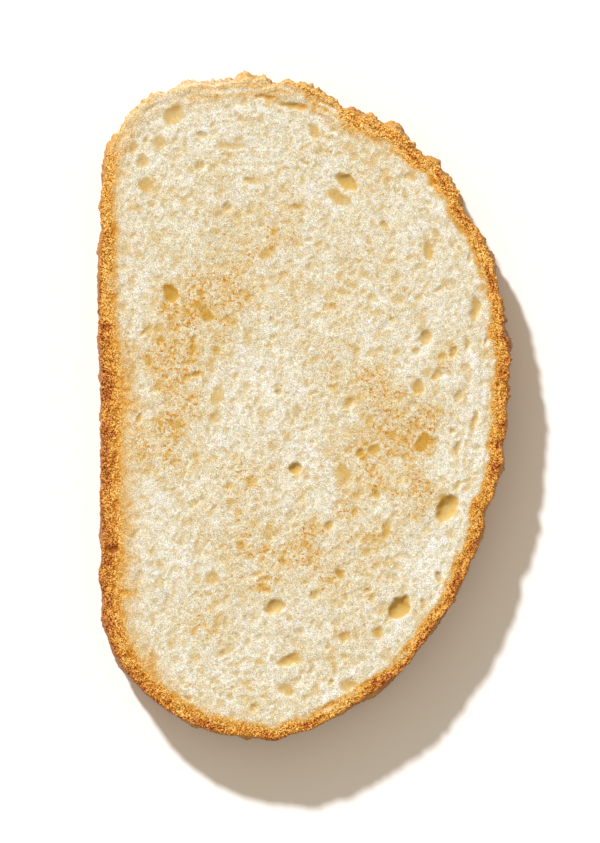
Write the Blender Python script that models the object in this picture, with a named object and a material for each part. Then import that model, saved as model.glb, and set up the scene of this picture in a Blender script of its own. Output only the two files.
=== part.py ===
"""A slice of lightly toasted white bread, cut across a free-standing loaf and lying on a cut face.

+Z is up and the origin is the middle of the face the slice rests on. The flat base of the loaf is the
-X side, and its domed crust bulges towards +X. The driving dimensions are in millimetres, and MM turns
them into Blender's metres.
"""

import math

import bmesh
import bpy
import numpy as np

MM = 0.001

# The slice
THICKNESS = 14.0
OUTLINE = (
    (-45.9, 1.5), (-46.4, 26.0), (-45.8, 47.0), (-42.6, 61.0), (-33.2, 70.3), (-10.0, 74.2),
    (5.0, 69.6), (22.0, 60.7), (34.0, 49.0), (42.3, 31.5), (46.0, 8.0), (43.6, -16.0), (35.6, -39.7),
    (21.0, -60.0), (2.0, -72.3), (-18.0, -74.0), (-36.0, -64.6), (-44.7, -50.0), (-45.8, -25.0),
)  # of the face it rests on, from the middle of the loaf's base, over the dome and back, clockwise from above
SPLINE_STEPS = 60  # straight runs in the curve between two of those points
OUTLINE_STEPS = 290
SECTION_HEIGHTS = (0.0, 0.5, 2.0, 4.5, 7.0, 9.5, 12.0, 13.5, 14.0)
EDGE_INSET = 0.5  # how far the knife's edge is worn back, at the top and bottom of the crust

# The crust all the way round, by share of the outline: how rough it is, and how far its wall leans in above
CRUST_TURNS = (0.0, 0.12, 0.2, 0.3, 0.45, 0.6, 0.75, 0.9, 1.0)
CRUST_ROUGHNESS = (0.5, 0.6, 1.0, 1.1, 1.0, 0.9, 0.75, 0.5, 0.5)
CRUST_LEAN = (1.6, 1.3, 0.5, 0.2, 0.2, 0.3, 0.5, 1.0, 1.6)
CRUST_SEED = 11
WAVES = 12
FIRST_WAVE = 13.0  # times round the outline
WAVE_STEP = 1.17
WAVE_HEIGHT = 0.16
WAVE_RISE = 0.07  # most that a wave turns with height, in cycles to the mm
LUMPS = 170
LUMP_LENGTH = (1.5, 3.2)
LUMP_HEIGHT = (0.15, 0.6)
MEAN_LUMP = 0.25  # what the lumps add on average, taken off so that the crust stays on its outline

# Crags and dents where the crust is torn or lumpy: share of the outline, how proud (a dent is negative),
# half length along the crust, and the height of the crag's middle. A dent runs the whole height.
CRAGS = (
    (0.035, 0.4, 5.0, 4.0), (0.097, -0.5, 3.0, 0.0), (0.132, 0.7, 4.0, 4.0), (0.158, -0.7, 1.9, 0.0),
    (0.183, 0.8, 1.7, 10.0), (0.203, 1.1, 2.1, 8.0), (0.227, -0.5, 1.5, 0.0), (0.235, 1.4, 1.8, 9.0),
    (0.252, -0.9, 1.9, 0.0), (0.269, 0.6, 1.6, 6.0), (0.284, 1.0, 1.8, 9.5), (0.292, -0.7, 1.4, 0.0),
    (0.301, 0.8, 1.7, 8.0), (0.328, 0.6, 2.2, 7.0), (0.355, 1.2, 2.1, 10.0), (0.366, 1.0, 1.7, 7.0),
    (0.389, -1.1, 3.6, 0.0), (0.419, 1.3, 2.3, 9.0), (0.466, 1.3, 1.5, 11.0), (0.494, -0.4, 5.0, 0.0),
    (0.536, 0.7, 2.0, 10.0), (0.562, -1.4, 3.4, 0.0), (0.597, -0.4, 2.2, 0.0), (0.682, 0.6, 3.0, 8.0),
    (0.722, -0.4, 4.0, 0.0), (0.764, 0.6, 1.7, 7.0), (0.796, 0.6, 2.6, 5.0), (0.855, 0.4, 4.5, 4.0),
    (0.922, 0.5, 3.0, 4.0),
)
CRAG_REACH = 4.5  # half height of a crag

# The largest air holes in the upper cut face: x, y, length, width, turn from +X in degrees, depth
HOLES = (
    (32.0, -22.7, 6.6, 4.2, 62, 2.8), (21.4, -45.3, 5.8, 4.4, 48, 2.8), (-6.6, -44.8, 5.4, 3.0, 14, 2.0),
    (9.4, 50.6, 5.2, 3.0, -26, 2.2), (8.0, 47.0, 5.8, 2.6, -26, 1.2), (-29.4, 65.5, 5.6, 3.8, 34, 1.8),
    (-30.1, 25.7, 3.0, 4.0, 10, 1.9), (27.3, 15.5, 2.9, 3.3, 0, 1.9), (-2.1, -13.5, 2.9, 2.7, 0, 2.4),
    (15.3, -9.8, 3.0, 2.0, 15, 1.7), (26.6, -8.0, 4.4, 3.0, 55, 1.4), (25.4, 4.4, 3.2, 2.7, 70, 1.5),
    (29.7, 7.1, 3.3, 2.3, 35, 1.4), (38.3, 22.0, 6.2, 2.0, 84, 1.8), (38.3, -3.0, 5.6, 1.3, 80, 1.5),
    (-3.5, -56.8, 5.4, 2.4, 24, 1.8), (-4.2, -63.8, 3.8, 2.5, 5, 1.5), (16.9, -50.9, 2.8, 2.5, 30, 1.6),
    (8.8, -51.9, 2.7, 2.5, 30, 1.5), (9.9, -62.9, 3.8, 1.8, 15, 1.3), (8.1, -37.6, 2.1, 2.2, 0, 1.6),
    (-2.4, 67.6, 7.4, 1.6, -6, 1.9), (2.0, 62.3, 3.3, 2.2, -28, 1.5), (23.9, 51.6, 3.2, 1.6, -24, 1.3),
    (27.9, 35.3, 4.4, 1.9, 98, 1.4), (-36.0, 55.1, 2.7, 2.8, 0, 1.5), (-35.6, 49.7, 3.1, 3.0, 0, 1.5),
    (-32.7, 59.6, 2.7, 3.4, 10, 1.4), (-38.3, 58.5, 2.0, 2.5, 0, 1.3), (8.5, -15.0, 4.0, 2.9, 65, 1.0),
    (-19.3, 2.4, 4.0, 2.6, 50, 0.9), (-22.0, 20.2, 2.5, 2.2, 0, 1.1), (-43.2, -32.2, 2.5, 2.3, 0, 1.8),
)
HOLE_SIDES = 12
HOLE_RINGS = 8
OVER_THE_FACE = 0.25  # of a hole's depth, how far the middle of the round air hole lies above the cut

# The lower cut face has holes of the same kind, spread by a rule
LOWER_HOLES = 18
LOWER_SEED = 5
LOWER_FROM_CRUST = 9.0
LOWER_APART = 8.0
LOWER_LENGTH = (2.2, 5.6)
LOWER_WIDTH = (0.5, 0.9)  # of the length
LOWER_DEPTH = 0.35  # of the length

CRUMB_COLOUR = (0.80, 0.66, 0.42, 1.0)
CRUMB_ROUGHNESS = 0.85
SHARP_EDGE = math.radians(40)


def clear_scene():
    for obj in list(bpy.data.objects):
        bpy.data.objects.remove(obj)


def closed_spline(points, count):
    """count points at even steps along the closed Catmull-Rom curve through points, from the first."""
    knots = np.array(points, float)
    share = np.linspace(0.0, 1.0, SPLINE_STEPS, endpoint=False)[:, None]
    pieces = []
    for k in range(len(knots)):
        before, start, end, after = (knots[(k + step) % len(knots)] for step in (-1, 0, 1, 2))
        pieces.append(
            0.5 * (
                2 * start
                + (end - before) * share
                + (2 * before - 5 * start + 4 * end - after) * share**2
                + (3 * start - before - 3 * end + after) * share**3
            )
        )
    dense = np.concatenate(pieces + [knots[:1]])
    along = np.concatenate([[0.0], np.cumsum(np.linalg.norm(np.diff(dense, axis=0), axis=1))])
    wanted = np.linspace(0.0, along[-1], count, endpoint=False)
    return np.stack([np.interp(wanted, along, dense[:, axis]) for axis in (0, 1)], axis=1)


def outward_normals(outline):
    """Unit normals of a closed outline that runs clockwise."""
    tangent = np.roll(outline, -1, axis=0) - np.roll(outline, 1, axis=0)
    normal = np.stack([-tangent[:, 1], tangent[:, 0]], axis=1)
    return normal / np.linalg.norm(normal, axis=1, keepdims=True)


def along_crust(turns, turn, perimeter):
    """Distance in mm along the crust from each share of the outline to the one at turn, as a column."""
    apart = (turns[:, None] - turn + 0.5) % 1.0 - 0.5
    return apart * perimeter


def small_relief(turns, heights, perimeter):
    """The crust's random waves and lumps, in mm, at each share of the outline (row) and height (column)."""
    rng = np.random.default_rng(CRUST_SEED)
    relief = np.full((len(turns), len(heights)), -MEAN_LUMP)
    for k in range(WAVES):
        times = round(FIRST_WAVE * WAVE_STEP**k)
        rise = rng.uniform(-WAVE_RISE, WAVE_RISE)
        phase = rng.uniform(0.0, 1.0)
        cycles = times * turns[:, None] + rise * heights[None, :] + phase
        relief += WAVE_HEIGHT / math.sqrt(k + 1) * np.sin(2 * math.pi * cycles)
    for _ in range(LUMPS):
        turn = rng.uniform(0.0, 1.0)
        height = rng.uniform(0.0, THICKNESS)
        length = rng.uniform(*LUMP_LENGTH)
        proud = rng.uniform(*LUMP_HEIGHT)
        reach = (along_crust(turns, turn, perimeter) / length) ** 2
        reach = reach + ((heights[None, :] - height) / length) ** 2
        relief += proud * np.exp(-reach)
    return relief * np.interp(turns, CRUST_TURNS, CRUST_ROUGHNESS)[:, None]


def crust_relief(turns, heights, perimeter):
    """How far the whole crust stands proud, in mm, at each share of the outline and height."""
    relief = small_relief(turns, heights, perimeter)
    for turn, proud, length, height in CRAGS:
        reach = (along_crust(turns, turn, perimeter) / length) ** 2
        if proud > 0.0:
            reach = reach + ((heights[None, :] - height) / CRAG_REACH) ** 2
        relief += proud * np.exp(-reach)
    lean = np.interp(turns, CRUST_TURNS, CRUST_LEAN)
    return relief - lean[:, None] * heights[None, :] / THICKNESS


def slice_sections():
    """The slice's outline at each section height (sections x points x 2, mm), and the middle of its box."""
    outline = closed_spline(OUTLINE, OUTLINE_STEPS)
    normals = outward_normals(outline)
    perimeter = np.linalg.norm(np.roll(outline, -1, axis=0) - outline, axis=1).sum()
    turns = np.arange(OUTLINE_STEPS) / OUTLINE_STEPS
    heights = np.array(SECTION_HEIGHTS)
    proud = crust_relief(turns, heights, perimeter)
    proud[:, [0, -1]] -= EDGE_INSET
    sections = outline[None, :, :] + normals[None, :, :] * proud.T[:, :, None]
    low = sections.reshape(-1, 2).min(axis=0)
    high = sections.reshape(-1, 2).max(axis=0)
    return sections, (low + high) / 2


def loft(name, sections, heights):
    """A closed solid through the sections, with a flat face on the first and the last."""
    bm = bmesh.new()
    loops = [
        [bm.verts.new((x * MM, y * MM, height * MM)) for x, y in section]
        for section, height in zip(sections, heights)
    ]
    count = len(loops[0])
    for lower, upper in zip(loops, loops[1:]):
        for k in range(count):
            after = (k + 1) % count
            bm.faces.new((lower[k], upper[k], upper[after], lower[after]))
    bm.faces.new(loops[0])
    bm.faces.new(loops[-1][::-1])
    bmesh.ops.recalc_face_normals(bm, faces=bm.faces)
    mesh = bpy.data.meshes.new(name)
    bm.to_mesh(mesh)
    bm.free()
    return bpy.data.objects.new(name, mesh)


def hole_cutter(name, hole, middle, face_height, side):
    """An air hole's ellipsoid that opens in the face at face_height: side is 1 above and -1 below."""
    x, y, length, width, turn, depth = hole
    bm = bmesh.new()
    bmesh.ops.create_uvsphere(bm, u_segments=HOLE_SIDES, v_segments=HOLE_RINGS, radius=1.0)
    mesh = bpy.data.meshes.new(name)
    bm.to_mesh(mesh)
    bm.free()
    cutter = bpy.data.objects.new(name, mesh)
    lift = OVER_THE_FACE * depth
    widen = 1.0 / math.sqrt(1.0 - (OVER_THE_FACE / (1.0 + OVER_THE_FACE)) ** 2)
    cutter.location = ((x - middle[0]) * MM, (y - middle[1]) * MM, (face_height + side * lift) * MM)
    cutter.rotation_euler = (0.0, 0.0, math.radians(turn))
    cutter.scale = (length / 2 * widen * MM, width / 2 * widen * MM, (depth + lift) * MM)
    cutter.hide_render = True
    cutter.display_type = "WIRE"
    return cutter


def inside(outline, place):
    """Whether place lies inside the closed outline, by the angle that the outline turns round it."""
    ray = outline - place
    angle = np.unwrap(np.arctan2(ray[:, 1], ray[:, 0]))
    return abs(angle[-1] - angle[0]) > math.pi


def lower_holes():
    """Holes for the lower face, over the crumb, clear of the crust, the middle and each other."""
    rng = np.random.default_rng(LOWER_SEED)
    outline = closed_spline(OUTLINE, OUTLINE_STEPS)
    low, high = outline.min(axis=0), outline.max(axis=0)
    found = []
    while len(found) < LOWER_HOLES:
        place = rng.uniform(low, high)
        length = rng.uniform(*LOWER_LENGTH)
        width = length * rng.uniform(*LOWER_WIDTH)
        turn = rng.uniform(0.0, 180.0)
        to_crust = np.linalg.norm(outline - place, axis=1).min()
        if to_crust < LOWER_FROM_CRUST or not inside(outline, place):
            continue
        taken = [(0.0, 0.0)] + [hole[:2] for hole in found]
        if any(math.dist(place, other) < LOWER_APART for other in taken):
            continue
        found.append((*place, length, width, turn, length * LOWER_DEPTH))
    return found


def bread_material():
    material = bpy.data.materials.new("toasted_crumb")
    material.use_nodes = True
    shader = material.node_tree.nodes["Principled BSDF"]
    shader.inputs["Base Color"].default_value = CRUMB_COLOUR
    shader.inputs["Roughness"].default_value = CRUMB_ROUGHNESS
    shader.inputs["Metallic"].default_value = 0.0
    return material


def build():
    clear_scene()
    parts = bpy.data.collections.new("toast")
    cutters = bpy.data.collections.new("cutters")
    for collection in (parts, cutters):
        bpy.context.scene.collection.children.link(collection)

    sections, middle = slice_sections()
    toast = loft("toast_slice", sections - middle, SECTION_HEIGHTS)
    toast.data.materials.append(bread_material())
    parts.objects.link(toast)

    for k, hole in enumerate(HOLES):
        cutters.objects.link(hole_cutter(f"upper_hole_{k}", hole, middle, THICKNESS, 1))
    for k, hole in enumerate(lower_holes()):
        cutters.objects.link(hole_cutter(f"lower_hole_{k}", hole, middle, 0.0, -1))
    holes = toast.modifiers.new("air_holes", "BOOLEAN")
    holes.operation = "DIFFERENCE"
    holes.operand_type = "COLLECTION"
    holes.collection = cutters
    holes.solver = "EXACT"

    toast.data.shade_smooth()
    toast.data.set_sharp_from_angle(angle=SHARP_EDGE)


build()
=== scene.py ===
"""A slice of lightly toasted white bread on a pale floor, seen from straight above in low, warm light.

The slice is one closed surface, the zero level of a field on a fine grid. The field starts as the outline
and the two cut faces. The crust's relief and the crumb's pores are worked into those, and the deeper air
holes are then carved out. Lengths are in millimetres until the mesh is made, which is in metres.
"""

import math

import bpy
import numpy as np
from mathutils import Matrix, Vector, kdtree


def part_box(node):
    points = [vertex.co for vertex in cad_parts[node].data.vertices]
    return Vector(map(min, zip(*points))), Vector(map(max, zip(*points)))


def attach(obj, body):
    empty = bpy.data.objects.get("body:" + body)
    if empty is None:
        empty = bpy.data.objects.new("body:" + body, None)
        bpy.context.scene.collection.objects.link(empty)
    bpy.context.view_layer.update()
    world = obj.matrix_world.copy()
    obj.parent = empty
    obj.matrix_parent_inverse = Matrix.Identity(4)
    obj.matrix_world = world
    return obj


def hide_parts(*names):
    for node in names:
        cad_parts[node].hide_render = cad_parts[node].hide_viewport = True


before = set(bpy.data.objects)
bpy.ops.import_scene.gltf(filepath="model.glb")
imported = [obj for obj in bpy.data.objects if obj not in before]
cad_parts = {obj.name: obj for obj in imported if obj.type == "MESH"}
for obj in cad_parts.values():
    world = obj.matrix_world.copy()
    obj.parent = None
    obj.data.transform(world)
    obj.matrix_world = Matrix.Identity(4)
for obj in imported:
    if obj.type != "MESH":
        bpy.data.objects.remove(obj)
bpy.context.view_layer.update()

MM = 0.001

# The slice, as the frame has it
THICKNESS = 14.0
OUTLINE = (
    (-45.9, 1.5), (-46.4, 26.0), (-45.8, 47.0), (-42.6, 61.0), (-33.2, 70.3), (-10.0, 74.2),
    (5.0, 69.6), (22.0, 60.7), (34.0, 49.0), (42.3, 31.5), (46.0, 8.0), (43.6, -16.0), (35.6, -39.7),
    (21.0, -60.0), (2.0, -72.3), (-18.0, -74.0), (-36.0, -64.6), (-44.7, -50.0), (-45.8, -25.0),
)  # of the face it rests on, from the middle of the loaf's base, over the dome and back, clockwise from above
SPLINE_STEPS = 60
FRAME_STEPS = 290
FRAME_HEIGHTS = (0.0, 0.5, 2.0, 4.5, 7.0, 9.5, 12.0, 13.5, 14.0)
OUTLINE_STEPS = 2400

CRUST_TURNS = (0.0, 0.12, 0.2, 0.3, 0.45, 0.6, 0.75, 0.9, 1.0)
CRUST_ROUGHNESS = (0.5, 0.6, 1.0, 1.1, 1.0, 0.9, 0.75, 0.5, 0.5)
CRUST_LEAN = (1.6, 1.3, 0.5, 0.2, 0.2, 0.3, 0.5, 1.0, 1.6)
CRUST_SEED = 11
WAVES = 12
FIRST_WAVE = 13.0
WAVE_STEP = 1.17
WAVE_HEIGHT = 0.16
WAVE_RISE = 0.07
LUMPS = 170
LUMP_LENGTH = (1.5, 3.2)
LUMP_HEIGHT = (0.15, 0.6)
MEAN_LUMP = 0.25
CRAGS = (
    (0.035, 0.4, 5.0, 4.0), (0.097, -0.5, 3.0, 0.0), (0.132, 0.7, 4.0, 4.0), (0.158, -0.7, 1.9, 0.0),
    (0.183, 0.8, 1.7, 10.0), (0.203, 1.1, 2.1, 8.0), (0.227, -0.5, 1.5, 0.0), (0.235, 1.4, 1.8, 9.0),
    (0.252, -0.9, 1.9, 0.0), (0.269, 0.6, 1.6, 6.0), (0.284, 1.0, 1.8, 9.5), (0.292, -0.7, 1.4, 0.0),
    (0.301, 0.8, 1.7, 8.0), (0.328, 0.6, 2.2, 7.0), (0.355, 1.2, 2.1, 10.0), (0.366, 1.0, 1.7, 7.0),
    (0.389, -1.1, 3.6, 0.0), (0.419, 1.3, 2.3, 9.0), (0.466, 1.3, 1.5, 11.0), (0.494, -0.4, 5.0, 0.0),
    (0.536, 0.7, 2.0, 10.0), (0.562, -1.4, 3.4, 0.0), (0.597, -0.4, 2.2, 0.0), (0.682, 0.6, 3.0, 8.0),
    (0.722, -0.4, 4.0, 0.0), (0.764, 0.6, 1.7, 7.0), (0.796, 0.6, 2.6, 5.0), (0.855, 0.4, 4.5, 4.0),
    (0.922, 0.5, 3.0, 4.0),
)
CRAG_REACH = 4.5

# The largest air holes in the upper cut face: x, y, length, width, turn from +X in degrees, depth
HOLES = (
    (32.0, -22.7, 6.6, 4.2, 62, 2.8), (21.4, -45.3, 5.8, 4.4, 48, 2.8), (-6.6, -44.8, 5.4, 3.0, 14, 2.0),
    (9.4, 50.6, 5.2, 3.0, -26, 2.2), (8.0, 47.0, 5.8, 2.6, -26, 1.2), (-29.4, 65.5, 5.6, 3.8, 34, 1.8),
    (-30.1, 25.7, 3.0, 4.0, 10, 1.9), (27.3, 15.5, 2.9, 3.3, 0, 1.9), (-2.1, -13.5, 2.9, 2.7, 0, 2.4),
    (15.3, -9.8, 3.0, 2.0, 15, 1.7), (26.6, -8.0, 4.4, 3.0, 55, 1.4), (25.4, 4.4, 3.2, 2.7, 70, 1.5),
    (29.7, 7.1, 3.3, 2.3, 35, 1.4), (38.3, 22.0, 6.2, 2.0, 84, 1.8), (38.3, -3.0, 5.6, 1.3, 80, 1.5),
    (-3.5, -56.8, 5.4, 2.4, 24, 1.8), (-4.2, -63.8, 3.8, 2.5, 5, 1.5), (16.9, -50.9, 2.8, 2.5, 30, 1.6),
    (8.8, -51.9, 2.7, 2.5, 30, 1.5), (9.9, -62.9, 3.8, 1.8, 15, 1.3), (8.1, -37.6, 2.1, 2.2, 0, 1.6),
    (-2.4, 67.6, 7.4, 1.6, -6, 1.9), (2.0, 62.3, 3.3, 2.2, -28, 1.5), (23.9, 51.6, 3.2, 1.6, -24, 1.3),
    (27.9, 35.3, 4.4, 1.9, 98, 1.4), (-36.0, 55.1, 2.7, 2.8, 0, 1.5), (-35.6, 49.7, 3.1, 3.0, 0, 1.5),
    (-32.7, 59.6, 2.7, 3.4, 10, 1.4), (-38.3, 58.5, 2.0, 2.5, 0, 1.3), (8.5, -15.0, 4.0, 2.9, 65, 1.0),
    (-19.3, 2.4, 4.0, 2.6, 50, 0.9), (-22.0, 20.2, 2.5, 2.2, 0, 1.1), (-43.2, -32.2, 2.5, 2.3, 0, 1.8),
)
OVER_THE_FACE = 0.25  # their lift, as for the pores below

# Smaller pores that show one by one in the crumb, given in the same way
PORES = (
    (-35.7, 60.0, 1.8, 1.4, 90, 0.7), (-23.1, 61.3, 3.0, 2.0, 0, 0.9), (-16.8, 58.6, 9.0, 2.0, 4, 0.5),
    (-23.5, 54.1, 3.4, 2.0, 60, 0.8), (-12.3, 50.9, 2.7, 2.0, 0, 0.8), (-1.5, 44.9, 2.9, 2.0, 0, 0.7),
    (-17.4, 44.7, 2.9, 1.8, 60, 0.9), (0.1, 55.0, 2.4, 0.8, -40, 0.8), (25.3, 12.7, 2.0, 2.0, 0, 0.7),
    (33.4, 12.3, 2.7, 1.8, 80, 0.9), (36.6, 14.3, 2.9, 1.2, 80, 0.9), (41.3, 15.0, 3.4, 1.1, 86, 0.9),
    (34.8, 2.4, 3.3, 1.8, 72, 0.8), (33.4, -5.5, 1.7, 1.3, 0, 0.9), (34.8, -9.3, 3.7, 1.1, 80, 0.9),
    (12.3, -10.5, 2.2, 1.8, 30, 0.8), (34.8, -17.7, 2.9, 1.6, 60, 0.8), (6.5, 4.4, 2.5, 1.3, 15, 0.7),
    (9.8, 1.0, 3.8, 2.0, 40, 0.7), (16.1, -20.1, 2.9, 2.0, 80, 0.7), (5.6, -26.9, 2.8, 2.2, 60, 0.8),
    (18.3, -27.8, 5.6, 2.2, 62, 0.6), (19.7, 19.2, 1.5, 1.4, 0, 0.8), (-24.9, 14.7, 2.6, 2.0, 20, 0.7),
    (-25.1, 7.1, 2.2, 2.0, 0, 0.9), (-20.0, -2.8, 3.8, 2.0, 55, 0.6), (-35.7, 17.2, 3.4, 1.6, 40, 0.8),
    (-7.5, 19.7, 1.7, 1.5, 0, 0.8), (-5.9, 3.2, 1.9, 1.1, 10, 0.8), (-37.0, -2.6, 3.0, 1.1, 80, 0.8),
    (-15.2, 6.4, 2.0, 1.7, 60, 0.6), (-18.1, -55.2, 2.5, 1.7, 50, 0.8), (-20.8, -39.0, 3.6, 3.2, 0, 0.5),
    (-26.2, -65.6, 1.9, 1.3, 0, 0.8), (-23.5, -69.2, 2.4, 0.9, -40, 0.9), (-11.1, -67.6, 2.3, 1.7, 60, 0.8),
    (30.5, -38.5, 2.6, 1.8, 60, 1.0), (6.0, -61.8, 1.9, 1.3, 0, 0.9), (2.6, -42.4, 2.6, 2.1, 50, 0.7),
    (26.9, -44.2, 1.8, 1.2, 90, 0.8), (5.1, -53.9, 2.1, 1.3, 30, 0.7), (14.1, -41.1, 1.9, 1.5, 50, 0.8),
    (18.3, 41.1, 1.9, 1.7, 0, 0.7), (37.0, 33.4, 2.6, 1.5, 80, 0.9), (-8.7, 69.6, 4.6, 1.3, -4, 1.1),
    (-42.9, -40.4, 1.8, 1.4, 0, 1.1),
)
PORE_LIFT = 0.6  # of a pore's depth, how far the middle of its round bubble lies above the cut
PORE_SHARE = 0.5  # of a listed pore's depth, how deep it looks

# Random pores for each cut face: how many, half length, length over width, depth, how much painted shade in
# tan, and lift
RANDOM_PORES = (
    (20000, (0.26, 0.5), (1.0, 1.7), (0.02, 0.07), (0.0, 0.35), 0.4),
    (3600, (0.4, 0.85), (1.1, 2.0), (0.04, 0.18), (0.1, 0.65), 0.7),
    (950, (0.8, 1.5), (1.1, 2.0), (0.08, 0.28), (0.25, 0.75), 0.8),
)
UNDER_HOLES = (46, (1.1, 3.0), (1.1, 2.0), (0.9, 2.2), (0.9, 1.2))  # on the face that isn't seen
UNDER_HOLES_IN = 3.0  # mm further from the crust than the pores
PORE_BIAS = 1.5  # the larger, the more of the pores are small
PORE_TURN = 0.35  # radians of spread about the flow
SHALLOWEST = 0.6  # of its depth, what the smallest pore keeps
FLOW_REACH = 11.0  # mm in from the crust over which the pores turn from its direction to the middle's
FLOW_ANGLE = 46.0  # the middle's direction, in degrees from +X
WARP = ((1.5, 0.2), (0.7, 0.12))  # sizes and shifts, in mm, of what makes the pores uneven
BREAD_SEED = 23

# How much painted shade, in tan, the pores and holes get in their hollows
PORE_SHADE = 0.85
HOLE_SHADE = (0.66, 0.23)  # how much painted shade, in tan, a large hole gets, and how much more for each mm of its depth
PALE_HOLE_SHADE = (-34.0, 56.0, 15.0, 13.0, 60, 0.1)  # where their painted shade is paler, as for the toasted patches below
TINT_SPREAD = 1.05  # in radii, how far out the painted shade reaches
SOFT_TINT = 1.4  # how sharply it ends, for pores and for large holes
CRISP_TINT = 6.0

# How the large holes are carved
HOLE_ROUNDING = 0.5  # of their rims
HOLE_SHARE = 0.13  # of the frame's depth of a hole, how deep it looks, and how much more for each mm of depth
HOLE_GAIN = 0.15
BUBBLE_MARGIN = 1.3
SPARE_STEPS = 3

# Finer relief. Noise is given as pairs of a size in mm, or one for each direction, and a height in mm
SPLINE_LOSS = 0.48  # what the spline leaves of the spread of random knots, in two directions
ROLLING = ((16.0, 0.07), (6.0, 0.05))
HIGHEST_ROLL = 0.1
CRUMB_GRAIN = ((0.7, 0.015), (0.45, 0.018))
CRUMB_DEPTH = 0.12  # of the crumb's mean level below the cut, and of the crust's
CRUST_DEPTH = 0.15
CRUST_GRAIN = ((1.3, 0.04), (0.75, 0.07), (0.45, 0.06))
TORN_WAVES = ((3.4, 0.08), (1.7, 0.12), (0.5, 0.12))
WAVES_TALL = 2.0  # over their length, as for the flakes
TORN_FLAKES = ((1.4, 0.25), (0.8, 0.38), (0.55, 0.42))
FLAKES_TALL = 3.0
FLAKE_EDGE = (0.2, 0.7)  # noise between which a flake rises
FLAKE_LOSS = 5.0  # a flake's height over how far the whole crust is set back for it
LEAN_SHARE = 0.05  # of the frame's lean, as the crust hardly shows from above
CUT_GRAIN = (((1.0, 0.8), 0.03), ((0.6, 0.5), 0.05))
CUT_FLAKES = (2.6, 0.9)
CUT_FLAKE_EDGE = (0.0, 0.8)
CUT_FLAKE_STEP = 0.2
CUT_FLAKES_IN = (1.5, 5.0)  # mm in: where the flakes begin to end, and where they have ended
POINT_GRAIN = 0.014  # random mm along each point's normal, on the cut faces and on the side
SIDE_GRAIN = 0.045

# Layers that follow the crust, by mm inside the outline, and how strong by share of the outline
OUTERMOST = -2.0
CRUST_REACH = 12.0
LAYERS_REACH = 16.0
LAYERS_FULL = 4.8  # they fade from here
LAYER_STEP = 0.15
LAYER_SIZE = (5.0, 0.5)
LAYER_HEIGHT = 0.03
# how much painted shade, in tan, the layers' grooves get
LAYER_SHADE = 0.09
LAYERED = ((0.0, 0.15, 0.3, 0.7, 0.85, 1.0), (0.0, 0.5, 1.0, 1.0, 0.3, 0.0))

# The grid that the surface is found on
STEP = 0.27
STEP_UP = 0.38
MARGIN = 2.0
EDGE_ROUNDING = 0.2  # where the crust meets the cut

# How the crust looks round the slice, by share of the outline: how brown its edge is, how far in that has
# fallen by half, how brown the crumb behind it still is and how far that reaches, how torn into flakes it
# is, how much darker its very rim is, partly its own darker edge and partly painted shade on the side
# towards the light, and how striped and how spotted it is
LOOK_TURNS = (0.0, 0.06, 0.12, 0.16, 0.2, 0.25, 0.3, 0.36, 0.42, 0.5, 0.58, 0.66, 0.74, 0.8, 0.86, 0.93, 1.0)
BROWN_PEAK = (
    0.88, 0.78, 0.58, 0.26, 0.21, 0.3, 0.58, 0.64, 0.75, 0.86, 0.9, 0.9, 0.92, 0.91, 0.88, 0.86, 0.87,
)
BROWN_WIDTH = (3.4, 3.0, 2.8, 4.0, 3.8, 4.2, 3.8, 3.1, 2.8, 2.7, 2.5, 2.3, 2.3, 2.6, 3.1, 3.3, 3.4)
TAIL = (0.44, 0.3, 0.2, 0.14, 0.12, 0.17, 0.26, 0.24, 0.2, 0.19, 0.18, 0.17, 0.22, 0.34, 0.42, 0.42, 0.44)
TAIL_REACH = (9.0, 6.5, 5.5, 6.0, 7.0, 6.5, 6.0, 5.5, 5.0, 5.5, 4.5, 4.5, 5.0, 6.5, 8.0, 9.0, 9.0)
TORN = (0.3, 0.3, 0.4, 0.8, 1.0, 1.0, 0.9, 0.8, 0.7, 0.5, 0.35, 0.25, 0.2, 0.2, 0.2, 0.3, 0.3)
RIM_BROWN_AND_SHADE = (0.08, 0.05, 0.06, 0.06, 0.04, 0.06, 0.06, 0.04, 0.02, 0, 0, 0, 0, 0, 0.02, 0.06, 0.08)
STRIPED = (0.0, 0.0, 0.0, 0.2, 0.5, 0.8, 0.9, 0.9, 0.8, 0.6, 0.6, 0.55, 0.55, 0.4, 0.2, 0.0, 0.0)
SPOTTED = (1.0, 0.8, 0.4, 0.0, 0.0, 0.0, 0.1, 0.2, 0.3, 0.4, 0.5, 0.5, 0.4, 0.3, 0.4, 0.8, 1.0)

# How the cut face turns from crust to crumb, in widths of the brown
PORES_FROM = 0.8
CRUST_TO_CRUMB = (0.7, 1.3)
BROWN_TO_CRUMB = (0.3, 1.7)

# How the brown varies: sizes in mm, and how much
WANDER_SIZE = 3.0
MOTTLE_SIZE = 1.1
STRIPE_SIZE = (3.0, 0.42)
EDGE_WANDER = 0.3
EDGE_MOTTLE = 0.2
BROWN_WANDER = 0.12
BROWN_MOTTLE = 0.1
BROWN_STRIPES = 0.26
SIDE_MOTTLE = ((2.2, 0.07), (7.0, 0.07))
SPOT_SIZE = 1.3
SPOT_EDGE = (0.7, 1.9)
SPOT_BROWN = 0.45
SPOTS_FROM = (0.35, 0.7)  # how brown the crust is where they begin to show, and show fully
FACE_FROM = (0.1, 1.0)  # mm in from the side: where the look of the cut begins, and where it is complete
RIM_TO = (0.1, 0.9)
STEEP = (0.2, 0.7)  # one less the upward part of the normal, where the side begins, and where it is complete

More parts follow.
